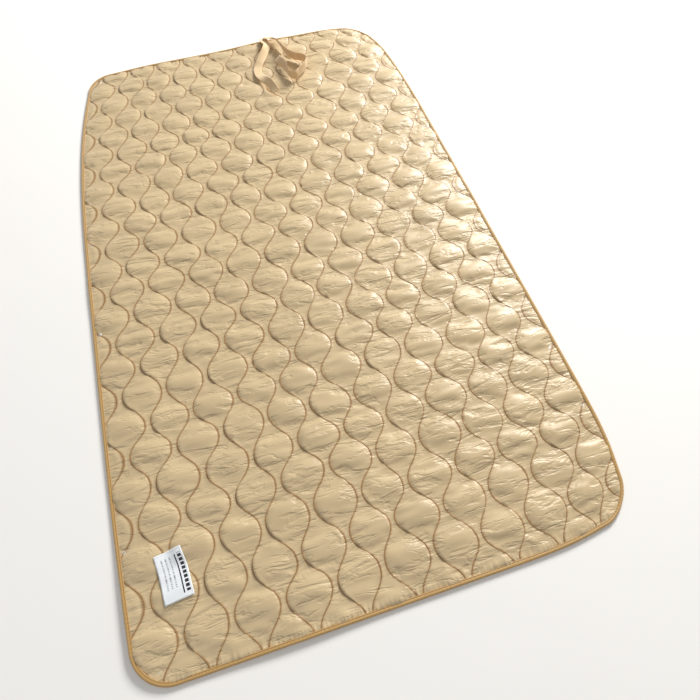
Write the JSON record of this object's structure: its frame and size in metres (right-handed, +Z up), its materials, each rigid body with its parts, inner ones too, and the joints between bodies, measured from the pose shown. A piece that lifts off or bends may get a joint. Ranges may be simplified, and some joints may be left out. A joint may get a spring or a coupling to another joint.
{
  "type": "quilted blanket",
  "caption": "Rectangular quilted blanket with bulb-shaped puffed cells, a bound edge with round corners, a sewn woven label and two tie tapes at one end.",
  "frame": {"origin": "centre of the blanket's underside, at the middle of its width and length", "axes": "+X across the width, +Y along the length towards the head edge with the tie tapes, +Z up through the thickness"},
  "size_m": [1, 1.7, 0.041],
  "materials": {
    "face": "satin",
    "backing": "matte",
    "wadding": "matte",
    "binding": "satin",
    "thread": "satin",
    "tape": "matte",
    "label": "matte",
    "label_thread": "matte"
  },
  "bodies": {
    "head_half": {"head_backing_fabric": "backing", "head_wadding": "wadding", "head_face_fabric": "face", "head_edge_binding": "binding", "head_binding_thread": "thread", "head_quilting_thread_01": "thread", "head_quilting_thread_02": "thread", "head_quilting_thread_03": "thread", "head_quilting_thread_04": "thread", "head_quilting_thread_05": "thread", "head_quilting_thread_06": "thread", "head_quilting_thread_07": "thread", "head_quilting_thread_08": "thread", "head_quilting_thread_09": "thread", "head_quilting_thread_10": "thread", "head_quilting_thread_11": "thread", "head_quilting_thread_12": "thread", "head_quilting_thread_13": "thread", "head_quilting_thread_14": "thread", "head_quilting_thread_15": "thread", "head_quilting_thread_16": "thread", "head_quilting_thread_17": "thread", "head_quilting_thread_18": "thread", "head_quilting_thread_19": "thread", "head_quilting_thread_20": "thread", "head_quilting_thread_21": "thread", "tie_anchor": "tape", "tie_bartack": "thread"},
    "foot_half": {"foot_backing_fabric": "backing", "foot_wadding": "wadding", "foot_face_fabric": "face", "foot_edge_binding": "binding", "foot_binding_thread": "thread", "foot_quilting_thread_01": "thread", "foot_quilting_thread_02": "thread", "foot_quilting_thread_03": "thread", "foot_quilting_thread_04": "thread", "foot_quilting_thread_05": "thread", "foot_quilting_thread_06": "thread", "foot_quilting_thread_07": "thread", "foot_quilting_thread_08": "thread", "foot_quilting_thread_09": "thread", "foot_quilting_thread_10": "thread", "foot_quilting_thread_11": "thread", "foot_quilting_thread_12": "thread", "foot_quilting_thread_13": "thread", "foot_quilting_thread_14": "thread", "foot_quilting_thread_15": "thread", "foot_quilting_thread_16": "thread", "foot_quilting_thread_17": "thread", "foot_quilting_thread_18": "thread", "foot_quilting_thread_19": "thread", "foot_quilting_thread_20": "thread", "foot_quilting_thread_21": "thread", "woven_label": "label", "label_thread": "label_thread"},
    "tie_tapes": {"tie_tape_a": "tape", "tie_tape_b": "tape"}
  },
  "joints": [
    {"name": "cross_fold", "type": "hinge", "parent": "head_half", "child": "foot_half", "pos_m": [0, 0, 0.022], "axis": [-1, 0, 0], "range_deg": [0, 178]},
    {"name": "tie_tapes_swing", "type": "hinge", "parent": "head_half", "child": "tie_tapes", "pos_m": [0.128, 0.8495, 0.011], "axis": [-1, 0, 0], "range_deg": [0, 150]}
  ]
}
